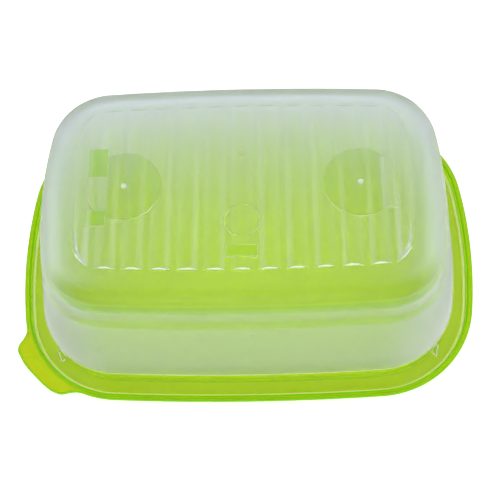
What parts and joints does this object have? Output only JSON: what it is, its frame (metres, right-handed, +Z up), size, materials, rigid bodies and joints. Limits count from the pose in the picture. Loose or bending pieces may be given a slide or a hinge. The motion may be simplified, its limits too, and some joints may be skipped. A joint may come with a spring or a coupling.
{
  "type": "fridge storage container",
  "caption": "Rectangular food box standing upside down: frosted tub with ribbed base and clear bands, mouth down in a close-fitting lime lid with a corner pull tab.",
  "frame": {"origin": "on the ground under the middle of the lid, at the middle of the object's underside", "axes": "+X along the long side, +Y along the short side away from the pull tab, +Z up through the tub's base: the box stands upside down, mouth down in its lid"},
  "size_m": [0.1972, 0.1366, 0.0695],
  "materials": {
    "tub_plastic": "frosted translucent polypropylene, polished clear at the rim band, flange, wall bands, gate islands and label windows",
    "lid_plastic": "glossy translucent lime polyethylene"
  },
  "bodies": {
    "lid": {"lid": "lid_plastic"},
    "tub": {"tub": "tub_plastic"}
  },
  "joints": [
    {"name": "tub_lift", "type": "slide", "parent": "lid", "child": "tub", "axis": [0, 0, 1], "range_m": [0, 0.08]}
  ]
}
